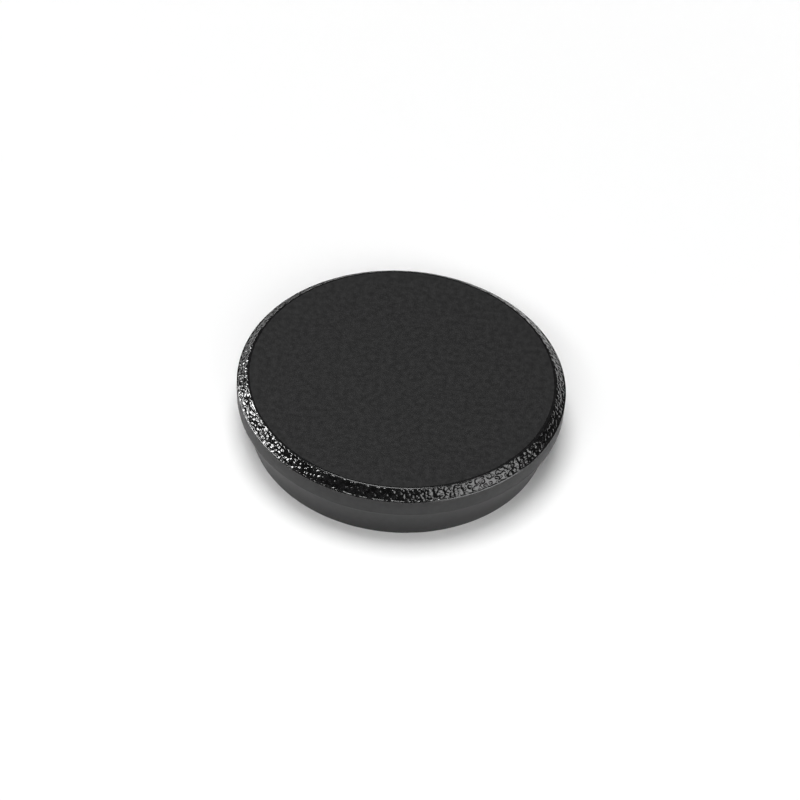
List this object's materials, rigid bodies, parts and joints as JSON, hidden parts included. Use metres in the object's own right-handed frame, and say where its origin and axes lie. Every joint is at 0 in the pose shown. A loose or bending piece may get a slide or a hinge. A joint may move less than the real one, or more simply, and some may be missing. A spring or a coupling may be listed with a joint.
{
  "type": "board magnet",
  "caption": "Round board magnet: a black moulded cap with a flat top, a grained bevel, an upright lip and a tapered skirt, holding a ferrite disc in its open underside.",
  "frame": {"origin": "middle of the flat side that lies on the board, at the height of the skirt's lower edge", "axes": "+Z is the axis of the round part, from the board out through the flat top"},
  "size_m": [0.032, 0.032, 0.0067],
  "materials": {
    "cap_plastic": "black moulded plastic: matt flat top, coarse mould grain on the bevel, smooth lip and skirt",
    "ferrite": "sintered ferrite, dark grey, ground flat on its faces"
  },
  "bodies": {
    "root": {"cap": "cap_plastic", "magnet_disc": "ferrite"}
  },
  "joints": []
}
